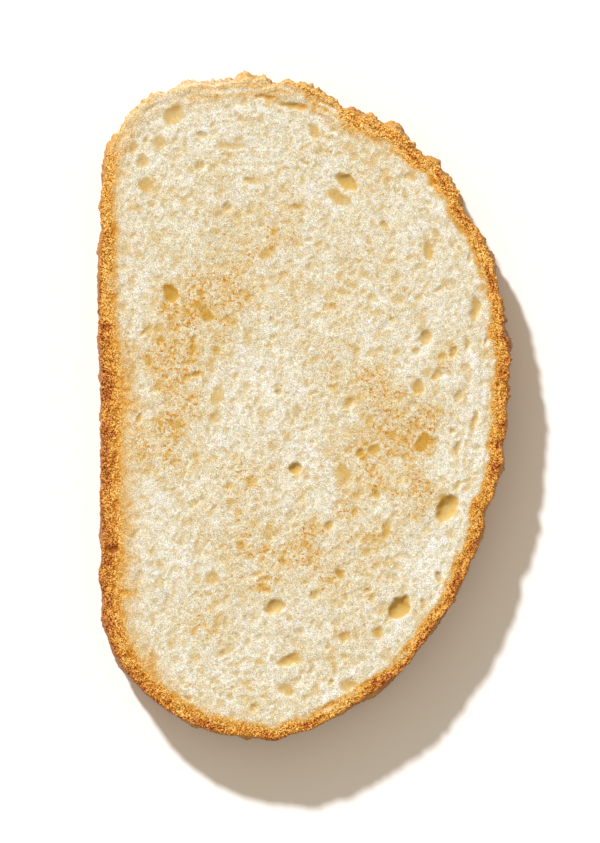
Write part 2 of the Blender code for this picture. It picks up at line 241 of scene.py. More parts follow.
# Toasted patches of the cut faces, and paler ones: x, y, half length, half width, turn, strength
TOASTED = (
    (-29.8, -1.2, 19.0, 8.5, 86, 1.0), (-21.0, 24.0, 15.0, 12.0, 40, 0.56),
    (-9.5, 37.5, 11.0, 8.0, 0, 0.5), (20.4, -14.0, 18.0, 12.0, 60, 0.85),
    (10.2, -23.3, 16.0, 11.0, 30, 0.65), (21.5, 3.7, 12.0, 9.0, 80, 0.65),
    (28.7, 12.7, 9.0, 6.0, 80, 0.4), (-3.3, -34.5, 19.0, 10.0, 5, 0.58),
    (5.0, 12.0, 22.0, 16.0, 20, 0.3), (-5.0, -5.0, 40.0, 62.0, 0, 0.25),
)
PALE = (
    (-12.0, 1.5, 12.0, 9.0, 45, 0.4), (-33.0, -21.0, 12.0, 8.0, 60, 0.35),
    (30.0, -31.0, 10.0, 6.0, 60, 0.4),
)
PATCH_FALL = 0.7
PATCHY = ((5.0, 1.0), (2.2, 0.7))
PATCHY_SHARE = 0.35
STRAY_TOAST = 0.04

# The flat map for baking: the side is cut into strips
CRUST_STRIPS = 3
STRIP_GAP = 1.0


def closed_spline(points, count):
    """count points at even steps along the closed Catmull-Rom curve through points, from the first."""
    knots = np.array(points, float)
    share = np.linspace(0.0, 1.0, SPLINE_STEPS, endpoint=False)[:, None]
    pieces = []
    for k in range(len(knots)):
        before, start, end, after = (knots[(k + step) % len(knots)] for step in (-1, 0, 1, 2))
        pieces.append(
            0.5 * (
                2 * start
                + (end - before) * share
                + (2 * before - 5 * start + 4 * end - after) * share**2
                + (3 * start - before - 3 * end + after) * share**3
            )
        )
    dense = np.concatenate(pieces + [knots[:1]])
    along = np.concatenate([[0.0], np.cumsum(np.linalg.norm(np.diff(dense, axis=0), axis=1))])
    wanted = np.linspace(0.0, along[-1], count, endpoint=False)
    return np.stack([np.interp(wanted, along, dense[:, axis]) for axis in (0, 1)], axis=1)


def outward_normals(outline):
    """Unit normals of a closed outline that runs clockwise."""
    tangent = np.roll(outline, -1, axis=0) - np.roll(outline, 1, axis=0)
    normal = np.stack([-tangent[:, 1], tangent[:, 0]], axis=1)
    return normal / np.linalg.norm(normal, axis=1, keepdims=True)


def along_crust(turns, turn, perimeter):
    """Distance in mm along the crust from each share of the outline to the one at turn, as a column."""
    apart = (turns[:, None] - turn + 0.5) % 1.0 - 0.5
    return apart * perimeter


def crust_relief(turns, heights, perimeter, lean_share=1.0):
    """How far the frame's crust stands proud, in mm, at each share of the outline and height."""
    rng = np.random.default_rng(CRUST_SEED)
    relief = np.full((len(turns), len(heights)), -MEAN_LUMP)
    for k in range(WAVES):
        times = round(FIRST_WAVE * WAVE_STEP**k)
        rise = rng.uniform(-WAVE_RISE, WAVE_RISE)
        phase = rng.uniform(0.0, 1.0)
        cycles = times * turns[:, None] + rise * heights[None, :] + phase
        relief += WAVE_HEIGHT / math.sqrt(k + 1) * np.sin(2 * math.pi * cycles)
    for _ in range(LUMPS):
        turn = rng.uniform(0.0, 1.0)
        height = rng.uniform(0.0, THICKNESS)
        length = rng.uniform(*LUMP_LENGTH)
        proud = rng.uniform(*LUMP_HEIGHT)
        reach = (along_crust(turns, turn, perimeter) / length) ** 2
        reach = reach + ((heights[None, :] - height) / length) ** 2
        relief += proud * np.exp(-reach)
    relief *= np.interp(turns, CRUST_TURNS, CRUST_ROUGHNESS)[:, None]
    for turn, proud, length, height in CRAGS:
        reach = (along_crust(turns, turn, perimeter) / length) ** 2
        if proud > 0.0:
            reach = reach + ((heights[None, :] - height) / CRAG_REACH) ** 2
        relief += proud * np.exp(-reach)
    lean = np.interp(turns, CRUST_TURNS, CRUST_LEAN)
    return relief - lean_share * lean[:, None] * heights[None, :] / THICKNESS


def frame_middle():
    """The middle of the frame's box in the outline's own coordinates, which the frame is centred on."""
    outline = closed_spline(OUTLINE, FRAME_STEPS)
    normals = outward_normals(outline)
    perimeter = np.linalg.norm(np.roll(outline, -1, axis=0) - outline, axis=1).sum()
    turns = np.arange(FRAME_STEPS) / FRAME_STEPS
    proud = crust_relief(turns, np.array(FRAME_HEIGHTS), perimeter)
    sections = outline[None, :, :] + normals[None, :, :] * proud.T[:, :, None]
    corners = sections.reshape(-1, 2)
    return (corners.min(axis=0) + corners.max(axis=0)) / 2


def knot_weights(places, count, wraps=False):
    """Cubic B-spline weights of count even knots, one row for each place, which is given in knots."""
    first = np.floor(places).astype(int)
    part = places - first
    shares = (
        (1 - part) ** 3 / 6,
        (3 * part**3 - 6 * part**2 + 4) / 6,
        (-3 * part**3 + 3 * part**2 + 3 * part + 1) / 6,
        part**3 / 6,
    )
    weights = np.zeros((len(places), count))
    rows = np.arange(len(places))
    for step, share in enumerate(shares):
        knot = first + step
        knot = knot % count if wraps else np.clip(knot, 0, count - 1)
        np.add.at(weights, (rows, knot), share)
    return weights


def sheet_noise(rng, across, along, size, wraps=False):
    """Smooth noise of unit spread on the grid across by along, both in mm, with lumps of about size.

    size is one number, or one for each direction. With wraps, it closes on itself in the first direction.
    """
    size_across, size_along = size if isinstance(size, tuple) else (size, size)
    if wraps:
        knots_across = round((across[-1] + across[1] - 2 * across[0]) / size_across)
        size_across = (across[-1] + across[1] - 2 * across[0]) / knots_across
    else:
        knots_across = int((across[-1] - across[0]) / size_across) + 4
    knots_along = int((along[-1] - along[0]) / size_along) + 4
    knots = rng.normal(size=(knots_across, knots_along)) / SPLINE_LOSS
    weights_across = knot_weights((across - across[0]) / size_across, knots_across, wraps)
    weights_along = knot_weights((along - along[0]) / size_along, knots_along)
    return weights_across @ knots @ weights_along.T


def layered_noise(rng, across, along, parts, wraps=False):
    """Noise of several sizes added up. Each part is a size, as for sheet_noise, and a height."""
    return sum(height * sheet_noise(rng, across, along, size, wraps) for size, height in parts)


def smooth_step(value, low, high):
    """0 below low to 1 above high."""
    part = np.clip((value - low) / (high - low), 0.0, 1.0)
    return part * part * (3 - 2 * part)


def nearest_step(values, start, step, count):
    """Which of count places, at even steps from start, each value is nearest to."""
    return np.clip(np.rint((values - start) / step).astype(int), 0, count - 1)


def out_in_ellipse(off_x, off_y, long, wide, angle):
    """How far out in an ellipse each place is, squared: 0 in its middle, 1 at its rim."""
    cosine, sine = np.cos(angle), np.sin(angle)
    out = ((off_x * cosine + off_y * sine) / long) ** 2
    return out + ((off_y * cosine - off_x * sine) / wide) ** 2


class Plan:
    """The slice seen from above: the grid, and for each of its columns the nearest place on the outline."""

    def __init__(self):
        low, high = (np.array(corner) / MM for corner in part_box("toast_slice"))
        self.x = np.arange(low[0] - MARGIN, high[0] + MARGIN, STEP)
        self.y = np.arange(low[1] - MARGIN, high[1] + MARGIN, STEP)
        self.z = np.arange(low[2] - 2 * STEP_UP, high[2] + 2 * STEP_UP, STEP_UP) + STEP_UP / 3
        self.middle = frame_middle()
        self.outline = closed_spline(OUTLINE, OUTLINE_STEPS) - self.middle
        self.normals = outward_normals(self.outline)
        self.perimeter = np.linalg.norm(np.roll(self.outline, -1, axis=0) - self.outline, axis=1).sum()
        self.turns = np.arange(OUTLINE_STEPS) / OUTLINE_STEPS
        self.along = self.turns * self.perimeter
        self.find_nearest()
        self.find_flow()
        rng = np.random.default_rng(BREAD_SEED + 2)
        self.warp = [layered_noise(rng, self.x, self.y, WARP) for _ in (0, 1)]

    def find_nearest(self):
        """The nearest point of the outline to each column, and how far inside the outline the column is."""
        tree = kdtree.KDTree(OUTLINE_STEPS)
        for k, (x, y) in enumerate(self.outline):
            tree.insert((x, y, 0.0), k)
        tree.balance()
        columns = [(x, y, 0.0) for x in self.x for y in self.y]
        nearest = np.array([tree.find(column)[1] for column in columns])
        away = np.array(columns)[:, :2] - self.outline[nearest]
        inward = -(away * self.normals[nearest]).sum(axis=1)
        distance = np.linalg.norm(away, axis=1) * np.where(inward < 0, -1, 1)
        shape = (len(self.x), len(self.y))
        self.nearest = nearest.reshape(shape)
        self.inside = distance.reshape(shape)

    def find_flow(self):
        """The way the crumb's bubbles are drawn out: along the crust near it, else up to the right."""
        tangent = np.stack([self.normals[:, 1], -self.normals[:, 0]], axis=1)[self.nearest]
        crust_angle = np.arctan2(tangent[..., 1], tangent[..., 0])
        follow = np.exp(-np.maximum(self.inside, 0.0) / FLOW_REACH)
        middle_angle = math.radians(FLOW_ANGLE)
        cosine = follow * np.cos(2 * crust_angle) + (1 - follow) * math.cos(2 * middle_angle)
        sine = follow * np.sin(2 * crust_angle) + (1 - follow) * math.sin(2 * middle_angle)
        self.flow = 0.5 * np.arctan2(sine, cosine)

    def by_turn(self, values):
        """A property of the crust, given at LOOK_TURNS, at each column."""
        return np.interp(self.turns, LOOK_TURNS, values)[self.nearest]

    def cell(self, x, y):
        """The column nearest to each place."""
        i = nearest_step(x, self.x[0], STEP, len(self.x))
        j = nearest_step(y, self.y[0], STEP, len(self.y))
        return i, j

    def sample(self, sheet, x, y):
        """sheet's value at each place, between its columns."""
        u = np.clip((x - self.x[0]) / STEP, 0, len(self.x) - 1.001)
        v = np.clip((y - self.y[0]) / STEP, 0, len(self.y) - 1.001)
        i, j = u.astype(int), v.astype(int)
        u, v = u - i, v - j
        return (
            sheet[i, j] * (1 - u) * (1 - v) + sheet[i + 1, j] * u * (1 - v)
            + sheet[i, j + 1] * (1 - u) * v + sheet[i + 1, j + 1] * u * v
        )


def crust_sheet(plan, heights):
    """How proud the crust is at each share of the outline and height: the frame's relief and finer."""
    rng = np.random.default_rng(BREAD_SEED)
    proud = crust_relief(plan.turns, heights, plan.perimeter, LEAN_SHARE)
    grain = layered_noise(rng, plan.along, heights, CRUST_GRAIN, wraps=True)
    waves = [((size, WAVES_TALL * size), height) for size, height in TORN_WAVES]
    torn = layered_noise(rng, plan.along, heights, waves, wraps=True)
    for size, height in TORN_FLAKES:
        flakes = sheet_noise(rng, plan.along, heights, (size, FLAKES_TALL * size), wraps=True)
        torn += height * smooth_step(flakes, *FLAKE_EDGE) - height / FLAKE_LOSS
    return proud + grain + torn * np.interp(plan.turns, LOOK_TURNS, TORN)[:, None]


def scattered(plan, rng, recipe, from_crust):
    """Random pores: x, y, half length, half width, angle, depth and painted shade, kept from_crust from the
    crust.
    """
    count, half_length, slimness, depth, hollow_shade = recipe[:5]
    x = rng.uniform(plan.x[0], plan.x[-1], 2 * count)
    y = rng.uniform(plan.y[0], plan.y[-1], 2 * count)
    at = plan.cell(x, y)
    kept = np.flatnonzero(plan.inside[at] > from_crust[at])[:count]
    x, y = x[kept], y[kept]
    draw = rng.uniform(size=len(kept)) ** PORE_BIAS
    long = half_length[0] + (half_length[1] - half_length[0]) * draw
    wide = long / rng.uniform(*slimness, len(kept))
    angle = plan.flow[plan.cell(x, y)] + rng.normal(0.0, PORE_TURN, len(kept))
    deep = rng.uniform(*depth, len(kept)) * (SHALLOWEST + (1.0 - SHALLOWEST) * draw)
    return np.stack([x, y, long, wide, angle, deep, rng.uniform(*hollow_shade, len(kept))], axis=1)


def over_pores(plan, pores, spread=1.0):
    """The columns that each pore may cover, and how far out in it each is, squared."""
    x, y, long, wide, angle = pores.T[:5]
    reach = int(math.ceil(spread * long.max() / STEP)) + 1
    near = np.arange(-reach, reach + 1)
    step_x, step_y = (part.ravel() for part in np.meshgrid(near, near, indexing="ij"))
    i, j = plan.cell(x, y)
    i = np.clip(i[:, None] + step_x, 0, len(plan.x) - 1)
    j = np.clip(j[:, None] + step_y, 0, len(plan.y) - 1)
    off_x = plan.x[i] - x[:, None] + plan.warp[0][i, j]
    off_y = plan.y[j] - y[:, None] + plan.warp[1][i, j]
    out = out_in_ellipse(off_x, off_y, long[:, None], wide[:, None], angle[:, None])
    return i, j, out / spread**2


def press_pores(plan, face, hollow_shade, pores, lift):
    """Lowers the face, as depths below the cut, where these pores' bubbles open in it, and paints tan shade
    into them.
    """
    i, j, out = over_pores(plan, pores)
    share = 1.0 - (lift / (1.0 + lift)) ** 2
    deep = pores[:, 5, None]
    bowl = deep * ((1.0 + lift) * np.sqrt(np.clip(1.0 - out * share, 0.0, 1.0)) - lift)
    np.maximum.at(face, (i, j), np.where(out < 1.0, bowl, 0.0))
    paint_pore_shade(plan, hollow_shade, pores, SOFT_TINT)


def paint_pore_shade(plan, hollow_shade, pores, crispness):
    """Paints tan shade into these pores, most in their middles. The crisper, the nearer to their rims it
    stays full.
    """
    i, j, out = over_pores(plan, pores, TINT_SPREAD)
    np.maximum.at(hollow_shade, (i, j), pores[:, 6, None] * np.clip((1.0 - out) * crispness, 0.0, 1.0))


def as_pores(plan, listed, hollow_shade, shade_per_depth=0.0):
    """Listed holes, x, y, length, width, turn and depth, as rows for press_pores and carve."""
    rows = np.array(listed, float)
    rows[:, :2] -= plan.middle
    rows[:, 2:4] /= 2
    rows[:, 4] = np.radians(rows[:, 4])
    hollow_shades = hollow_shade + shade_per_depth * rows[:, 5] - patch_strength(plan, PALE_HOLE_SHADE, rows[:, 0], rows[:, 1])
    return np.hstack([rows, hollow_shades[:, None]])


def crumb_face(plan, rng, from_crust, listed):
    """Depth of a cut face below the knife's plane at each column with its smaller pores, and its painted
    shade in tan.
    """
    rolling = layered_noise(rng, plan.x, plan.y, ROLLING)
    face = np.zeros((len(plan.x), len(plan.y)))
    hollow_shade = np.zeros_like(face)
    for recipe in RANDOM_PORES:
        press_pores(plan, face, hollow_shade, scattered(plan, rng, recipe, from_crust), recipe[-1])
    if len(listed):
        press_pores(plan, face, hollow_shade, listed, PORE_LIFT)
    grain = layered_noise(rng, plan.x, plan.y, CRUMB_GRAIN)
    layers = crust_layers(plan, rng)
    face = face + grain + LAYER_HEIGHT * layers + np.maximum(rolling, -HIGHEST_ROLL) + CRUMB_DEPTH
    return face, hollow_shade + LAYER_SHADE * layers


def crust_layers(plan, rng):
    """Thin layers in the crumb along the crust of the dome, where the dough was rolled."""
    depths = np.arange(OUTERMOST, LAYERS_REACH, LAYER_STEP)
    sheet = sheet_noise(rng, plan.along, depths, LAYER_SIZE, wraps=True)
    sheet *= smooth_step(-depths, -LAYERS_REACH, -LAYERS_FULL)[None, :]
    sheet *= np.interp(plan.turns, *LAYERED)[:, None]
    row = nearest_step(plan.inside, OUTERMOST, LAYER_STEP, len(depths))
    return np.where(plan.inside < depths[-1] + LAYER_STEP / 2, sheet[plan.nearest, row], 0.0)


def crust_face(plan, rng):
    """Depth of the cut face in the crust: granular, and torn into flakes on the dome."""
    depths = np.arange(OUTERMOST, CRUST_REACH, LAYER_STEP)
    sheet = layered_noise(rng, plan.along, depths, CUT_GRAIN, wraps=True)
    flakes = sheet_noise(rng, plan.along, depths, CUT_FLAKES, wraps=True)
    full, ended = CUT_FLAKES_IN
    torn = np.interp(plan.turns, LOOK_TURNS, TORN)[:, None] * smooth_step(-depths, -ended, -full)[None, :]
    sheet += CUT_FLAKE_STEP * torn * smooth_step(flakes, *CUT_FLAKE_EDGE)
    row = nearest_step(plan.inside, OUTERMOST, LAYER_STEP, len(depths))
    return sheet[plan.nearest, row] + CRUST_DEPTH


def carve(plan, field, pores, height, side, lift):
    """Takes the bubbles of these pores out of the solid. side is 1 for the upper face and -1 for the lower.

    The bubbles are uneven, and their rims are rounded over.
    """
    share = math.sqrt(1.0 - (lift / (1.0 + lift)) ** 2)
    for x, y, long, wide, angle, deep in pores[:, :6]:
        long, wide, deep = long / share, wide / share, deep * (HOLE_SHARE + HOLE_GAIN * deep)
        tall = deep * (1.0 + lift)
        centre = height + side * deep * lift
        reach = BUBBLE_MARGIN * long + SPARE_STEPS * STEP
        reach_up = BUBBLE_MARGIN * tall + SPARE_STEPS * STEP_UP
        i0, i1 = np.searchsorted(plan.x, (x - reach, x + reach))
        j0, j1 = np.searchsorted(plan.y, (y - reach, y + reach))
        k0, k1 = np.searchsorted(plan.z, (centre - reach_up, centre + reach_up))
        off_x = plan.x[i0:i1, None, None] - x + plan.warp[0][i0:i1, j0:j1, None]
        off_y = plan.y[None, j0:j1, None] - y + plan.warp[1][i0:i1, j0:j1, None]
        off_z = plan.z[None, None, k0:k1] - centre
        out = out_in_ellipse(off_x, off_y, long, wide, angle) + (off_z / tall) ** 2
        bubble = (np.sqrt(out) - 1.0) * min(wide, tall)
        part = field[i0:i1, j0:j1, k0:k1]
        part[:] = rounded_max(part, -bubble, HOLE_ROUNDING)


def rounded_max(a, b, radius):
    """The larger of a and b, rounded where they meet."""
    near = np.maximum(radius - np.abs(a - b), 0.0) / radius
    return np.maximum(a, b) + near * near * radius / 4


def surface_nets(field, low, steps):
    """The closed surface where field is zero: a point in each cell it crosses, and quads between them."""
    solid = field < 0.0
    shape = np.array(field.shape)
    corners = [np.array((i, j, k)) for i in (0, 1) for j in (0, 1) for k in (0, 1)]
    count = np.zeros(shape - 1, np.uint8)
    for i, j, k in corners:
        count += solid[i:shape[0] - 1 + i, j:shape[1] - 1 + j, k:shape[2] - 1 + k]
    crossed = (count > 0) & (count < 8)
    cells = np.argwhere(crossed)
    index = np.full(crossed.shape, -1, np.int32)
    index[crossed] = np.arange(len(cells))
    values = [field[tuple((cells + corner).T)] for corner in corners]
    total = np.zeros((len(cells), 3))
    cuts = np.zeros(len(cells))
    for a, start in enumerate(corners):
        for b, end in enumerate(corners[a + 1:], a + 1):
            if np.abs(end - start).sum() != 1:
                continue
            cut = (values[a] < 0.0) != (values[b] < 0.0)
            share = np.where(cut, values[a] / np.where(cut, values[a] - values[b], 1.0), 0.0)
            total += (start + share[:, None] * (end - start)) * cut[:, None]
            cuts += cut
    points = low + (cells + total / cuts[:, None]) * steps
    quads = []
    for axis in range(3):
        first = np.take(solid, range(shape[axis] - 1), axis)
        second = np.take(solid, range(1, shape[axis]), axis)
        edges = np.argwhere(first != second)
        upward = first[tuple(edges.T)]
        u, v = np.eye(3, dtype=int)[(axis + 1) % 3], np.eye(3, dtype=int)[(axis + 2) % 3]
        ring = np.stack([index[tuple((edges - away).T)] for away in (u + v, v, 0 * u, u)], axis=1)
        quads.append(np.where(upward[:, None], ring, ring[:, ::-1]))
    return points, np.concatenate(quads)


def largest_body(points, quads):
    """Only the surface's largest connected body, without loose scraps and shut bubbles."""
    label = np.arange(len(points))
    edges = np.concatenate([quads[:, (0, 1)], quads[:, (1, 2)], quads[:, (2, 3)]])
    while True:
        joined = np.minimum(label[edges[:, 0]], label[edges[:, 1]])
        before = label.copy()
        for end in (0, 1):
            np.minimum.at(label, label[edges[:, end]], joined)
            np.minimum.at(label, edges[:, end], joined)
        label = label[label]
        if (label == before).all():
            break
    names, sizes = np.unique(label, return_counts=True)
    kept = label == names[sizes.argmax()]
    renumbered = np.cumsum(kept) - 1
    return points[kept], renumbered[quads[kept[quads[:, 0]]]]


def point_normals(points, quads):
    """Outward unit normals at the points."""
    a, b, c, d = (points[quads[:, k]] for k in range(4))
    facing = np.cross(c - a, d - b)
    normals = np.zeros_like(points)
    for axis in range(3):
        for k in range(4):
            normals[:, axis] += np.bincount(quads[:, k], facing[:, axis], len(points))
    return normals / np.maximum(np.linalg.norm(normals, axis=1, keepdims=True), 1e-9)


def make_slice(plan):
    """The whole slice's surface, and what its material needs to know at each point."""
    rng = np.random.default_rng(BREAD_SEED + 1)
    crust = crust_sheet(plan, plan.z)
    width = plan.by_turn(BROWN_WIDTH)
    from_crust = PORES_FROM * width
    in_crust = 1.0 - smooth_step(plan.inside, *(share * width for share in CRUST_TO_CRUMB))
    holes = as_pores(plan, HOLES, *HOLE_SHADE)
    small_holes = as_pores(plan, PORES, PORE_SHADE)
    small_holes[:, 5] *= PORE_SHARE
    under_holes = scattered(plan, rng, UNDER_HOLES, from_crust + UNDER_HOLES_IN)
    faces, hollow_shades = [], []
    for listed, large in ((small_holes, holes), ((), under_holes)):
        crumb, hollow_shade = crumb_face(plan, rng, from_crust, listed)
        paint_pore_shade(plan, hollow_shade, large, CRISP_TINT)
        faces.append(crumb + (crust_face(plan, rng) - crumb) * in_crust)
        hollow_shades.append(hollow_shade)
    upper, lower = faces

    field = (-plan.inside[:, :, None] - crust[plan.nearest]).astype(np.float32)
    height = plan.z[None, None, :]
    field = rounded_max(field, (height - THICKNESS + upper[:, :, None]).astype(np.float32), EDGE_ROUNDING)
    field = rounded_max(field, (lower[:, :, None] - height).astype(np.float32), EDGE_ROUNDING)
    carve(plan, field, holes, THICKNESS, 1, OVER_THE_FACE)
    carve(plan, field, under_holes, 0.0, -1, OVER_THE_FACE)

    low = np.array((plan.x[0], plan.y[0], plan.z[0]))
    points, quads = surface_nets(field, low, np.array((STEP, STEP, STEP_UP)))
    points, quads = largest_body(points, quads)
    normals = point_normals(points, quads)
    on_side = smooth_step(1.0 - np.abs(normals[:, 2]), *STEEP)
    grain = POINT_GRAIN + (SIDE_GRAIN - POINT_GRAIN) * on_side
    points += normals * (grain * rng.normal(0.0, 1.0, len(points)))[:, None]
    points[:, 2] = np.clip(points[:, 2], 0.0, THICKNESS)
    return points, quads, describe(plan, points, crust, hollow_shades, on_side, rng)


def describe(plan, points, crust, hollow_shades, on_side, rng):
    """For each point: how much painted shade, in tan, it has as a pore's inside, how brown as crust, with a
    rim darkened partly by painted shade, how toasted, and how far it belongs to the side. skin is its depth
    in mm below the side, for the map.
    """
    x, y, z = points.T
    i, j = plan.cell(x, y)
    nearest = plan.nearest[i, j]
    row = nearest_step(z, plan.z[0], STEP_UP, len(plan.z))
    skin = plan.sample(plan.inside, x, y) + crust[nearest, row]
    hollow_shade = np.where(z > THICKNESS / 2, *(plan.sample(sheet, x, y) for sheet in hollow_shades))

    turn = plan.turns[nearest]
    peak, width, tail, tail_reach = (
        np.interp(turn, LOOK_TURNS, values) for values in (BROWN_PEAK, BROWN_WIDTH, TAIL, TAIL_REACH)
    )
    wander = plan.sample(sheet_noise(rng, plan.x, plan.y, WANDER_SIZE), x, y)
    mottle = plan.sample(sheet_noise(rng, plan.x, plan.y, MOTTLE_SIZE), x, y)
    depths = np.arange(OUTERMOST, LAYERS_REACH, LAYER_STEP)
    stripes = sheet_noise(rng, plan.along, depths, STRIPE_SIZE, wraps=True)
    across = nearest_step(plan.sample(plan.inside, x, y), OUTERMOST, LAYER_STEP, len(depths))
    stripes = stripes[nearest, across] * np.interp(turn, LOOK_TURNS, STRIPED)
    reach = skin + EDGE_WANDER * wander + EDGE_MOTTLE * mottle
    behind = smooth_step(reach, *(share * width for share in BROWN_TO_CRUMB))
    browning_and_rim_shade = peak * (1.0 - behind) + tail * behind * np.exp(-(np.maximum(skin, 0.0) / tail_reach) ** 2)
    on_face = smooth_step(skin, *FACE_FROM)
    varied = BROWN_WANDER * wander + BROWN_MOTTLE * mottle + BROWN_STRIPES * stripes
    side = layered_noise(rng, plan.along, plan.z, SIDE_MOTTLE, wraps=True)[nearest, row]
    browning_and_rim_shade *= 1.0 + varied * on_face + side * (1.0 - on_face)
    spots = smooth_step(plan.sample(sheet_noise(rng, plan.x, plan.y, SPOT_SIZE), x, y), *SPOT_EDGE)
    spots *= on_face * smooth_step(browning_and_rim_shade, *SPOTS_FROM) * np.interp(turn, LOOK_TURNS, SPOTTED)
    browning_and_rim_shade += SPOT_BROWN * spots
    # A darker rim round the cut face's edge, strongest on the side towards the light: partly the crust's own
    # darker edge, partly painted shade
    rim = 1.0 - smooth_step(np.maximum(skin, 0.0), *RIM_TO)
    browning_and_rim_shade += np.interp(turn, LOOK_TURNS, RIM_BROWN_AND_SHADE) * rim

    toasted = np.zeros(len(points))
    for patch in TOASTED:
        toasted = np.maximum(toasted, patch_strength(plan, patch, x, y))
    for patch in PALE:
        toasted -= patch_strength(plan, patch, x, y)
    patchy = plan.sample(layered_noise(rng, plan.x, plan.y, PATCHY), x, y)
    toasted = np.clip(toasted * (1.0 + PATCHY_SHARE * patchy) + STRAY_TOAST * patchy, 0.0, 1.0)
    return {
        "hollow_shade": hollow_shade,
        "browning_and_rim_shade": np.clip(browning_and_rim_shade, 0.0, 1.0),
        "toasted": toasted,
        "side": on_side,
        "skin": skin,
    }


def patch_strength(plan, patch, x, y):
    """How strong a soft-edged elliptical patch is at each place."""
    centre_x, centre_y, long, wide, turn_deg, strength = patch
    off_x, off_y = x - centre_x + plan.middle[0], y - centre_y + plan.middle[1]
    out = out_in_ellipse(off_x, off_y, long, wide, math.radians(turn_deg))
    return strength * np.exp(-out * out * PATCH_FALL)


def bake_map(plan, points, quads, skin):
    """Corner coordinates of a flat map: the cut faces side by side, and the crust in strips above."""
    middle = points[quads].mean(axis=1)
    off_skin = skin[quads].mean(axis=1)
    to_face = np.minimum(middle[:, 2], THICKNESS - middle[:, 2])
    on_crust = off_skin < to_face
    above = middle[:, 2] > THICKNESS / 2
    corners = points[quads]
    u = corners[..., 0] - plan.x[0]
    v = corners[..., 1] - plan.y[0]
    face_width = plan.x[-1] - plan.x[0]
    face_height = plan.y[-1] - plan.y[0]
    u = np.where(above[:, None], u, 2 * face_width - u)
    i, j = plan.cell(corners[..., 0], corners[..., 1])
    along = plan.turns[plan.nearest[i, j]]
    along = np.where(along - along[:, :1] > 0.5, along - 1.0, along)
    along = np.where(along - along[:, :1] < -0.5, along + 1.0, along)
    strip = np.minimum(np.floor(along.mean(axis=1) * CRUST_STRIPS), CRUST_STRIPS - 1)[:, None]
    strip_u = (along - strip / CRUST_STRIPS) * plan.perimeter + STRIP_GAP
    strip_v = face_height + STRIP_GAP + strip * (THICKNESS + STRIP_GAP) + corners[..., 2]
    u = np.where(on_crust[:, None], strip_u, u)
    v = np.where(on_crust[:, None], strip_v, v)
    side = max(2 * face_width, face_height + STRIP_GAP + CRUST_STRIPS * (THICKNESS + STRIP_GAP))
    return np.stack([u, v], axis=-1) / side


def build_mesh(name, points, quads, values, corners):
    mesh = bpy.data.meshes.new(name)
    mesh.vertices.add(len(points))
    mesh.vertices.foreach_set("co", (points * MM).astype(np.float32).ravel())
    mesh.loops.add(quads.size)
    mesh.loops.foreach_set("vertex_index", quads.astype(np.int32).ravel())
    mesh.polygons.add(len(quads))
    mesh.polygons.foreach_set("loop_start", np.arange(0, quads.size, 4, dtype=np.int32))
    mesh.update(calc_edges=True)
    for key, value in values.items():
        layer = mesh.attributes.new(key, "FLOAT", "POINT")
        layer.data.foreach_set("value", value.astype(np.float32))
    uv = mesh.uv_layers.new(name="OFBake")
    uv.uv.foreach_set("vector", corners.astype(np.float32).ravel())
    mesh.shade_smooth()
    return mesh


class Nodes:
    """Short ways to add and join a material's nodes."""

    def __init__(self, material):
        self.tree = material.node_tree
        self.coordinates = self.add("ShaderNodeTexCoord").outputs["Object"]

    def add(self, kind, inputs=(), **settings):
        node = self.tree.nodes.new(kind)
        for key, value in settings.items():
            setattr(node, key, value)
        for key, value in dict(inputs).items():
            self.put(node.inputs[key], value)
        return node

    def put(self, socket, value):
        if isinstance(value, bpy.types.NodeSocket):
            self.tree.links.new(value, socket)
        else:
            socket.default_value = value

    def attribute(self, name):
        return self.add("ShaderNodeAttribute", attribute_name=name).outputs["Fac"]

    def math(self, operation, *values, clamp=False):
        node = self.add("ShaderNodeMath", operation=operation, use_clamp=clamp)
        for socket, value in zip(node.inputs, values):
            self.put(socket, value)
        return node.outputs[0]

    def around_zero(self, noise, gain):
        """Noise from 0 to 1 less its middle, times gain."""
        return self.math("MULTIPLY", self.math("SUBTRACT", noise, 0.5), gain)

    def linear(self, value, gain, base):
        """value times gain, plus base."""
        return self.math("ADD", self.math("MULTIPLY", value, gain), base)

    def noise(self, size, detail=2.0, roughness=0.5):
        """Noise from 0 to 1 with lumps of about size in mm."""
        inputs = {"Vector": self.coordinates, "Scale": 1.0 / (size * MM)}
        inputs.update({"Detail": detail, "Roughness": roughness})
        return self.add("ShaderNodeTexNoise", inputs).outputs["Fac"]

    def granules(self, size):
        """A random value from 0 to 1 for each granule of about size in mm."""
        inputs = {"Vector": self.coordinates, "Scale": 1.0 / (size * MM)}
        node = self.add("ShaderNodeTexVoronoi", inputs)
        return self.add("ShaderNodeSeparateColor", {"Color": node.outputs["Color"]}).outputs[0]

    def ramp(self, value, low, high):
        """0 below low to 1 above high."""
        node = self.add("ShaderNodeMapRange", {"Value": value, "From Min": low, "From Max": high})
        node.interpolation_type = "SMOOTHSTEP"
        return node.outputs["Result"]

    def mix(self, share, first, second):
        node = self.add("ShaderNodeMix", data_type="RGBA")
        self.put(node.inputs["Factor"], share)
        for key, value in (("A", first), ("B", second)):
            socket = next(s for s in node.inputs if s.name == key and s.type == "RGBA")
            self.put(socket, (*value, 1.0) if isinstance(value, tuple) else value)
        return next(s for s in node.outputs if s.type == "RGBA")

    def colours(self, value, stops):
        """A colour ramp through stops, each a place and a colour."""
        node = self.add("ShaderNodeValToRGB", {"Fac": value})
        elements = node.color_ramp.elements
        while len(elements) < len(stops):
            elements.new(0.5)
        for element, (place, colour) in zip(elements, stops):
            element.position = place
            element.color = (*colour, 1.0)
        return node.outputs["Color"]
